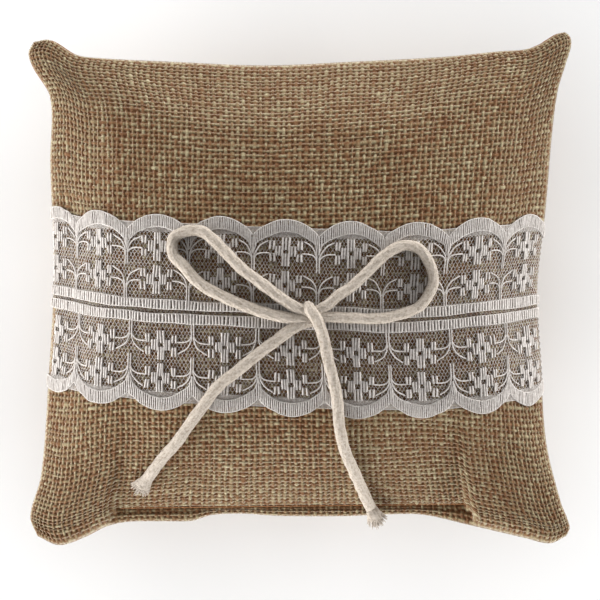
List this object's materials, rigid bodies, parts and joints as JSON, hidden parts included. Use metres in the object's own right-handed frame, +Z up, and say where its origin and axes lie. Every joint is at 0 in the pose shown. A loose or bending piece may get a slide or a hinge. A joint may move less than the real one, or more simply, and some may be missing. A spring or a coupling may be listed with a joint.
{
  "type": "ring bearer pillow",
  "caption": "Small square cushion of coarse plain-weave cloth with a scalloped lace band across the front and a soft cord tied in a bow.",
  "frame": {"origin": "on the resting surface, under the middle of the cushion's outline", "axes": "+Z up out of the front panel, +X along the lace band to the right, +Y towards the edge opposite the closing lip"},
  "size_m": [0.1495, 0.1416, 0.0564],
  "materials": {
    "cover_cloth": "coarse plain weave of mixed brown, tan and grey-green yarns, matte",
    "lace": "cool white openwork lace with a slight satin sheen",
    "cord": "soft cream cotton cord, matte and slightly fuzzy",
    "thread": "dark brown spun sewing thread, matte",
    "fill": "white polyester fibre"
  },
  "bodies": {
    "cushion": {"front_panel": "cover_cloth", "back_panel": "cover_cloth", "fibre_fill": "fill", "lace_band": "lace", "bow_knot": "cord", "perimeter_seam_thread": "thread", "closing_seam_thread": "thread", "bow_tack_thread": "thread"},
    "left_loop_cord": {"left_loop": "cord"},
    "right_loop_cord": {"right_loop": "cord"},
    "left_tail_cord": {"left_tail": "cord"},
    "right_tail_cord": {"right_tail": "cord"}
  },
  "joints": [
    {"name": "left_loop_lift", "type": "hinge", "parent": "cushion", "child": "left_loop_cord", "pos_m": [-0.0024, -0.006, 0.0546], "axis": [0.3511, 0.9363, 0], "range_deg": [0, 45]},
    {"name": "right_loop_lift", "type": "hinge", "parent": "cushion", "child": "right_loop_cord", "pos_m": [0.0077, -0.0057, 0.0545], "axis": [0.059, -0.9983, 0], "range_deg": [0, 45]},
    {"name": "left_tail_lift", "type": "hinge", "parent": "cushion", "child": "left_tail_cord", "pos_m": [-0.0026, -0.0109, 0.0543], "axis": [-0.5868, 0.8097, 0], "range_deg": [0, 70]},
    {"name": "right_tail_lift", "type": "hinge", "parent": "cushion", "child": "right_tail_cord", "pos_m": [0.006, -0.0118, 0.054], "axis": [-0.968, -0.251, 0], "range_deg": [0, 70]}
  ]
}
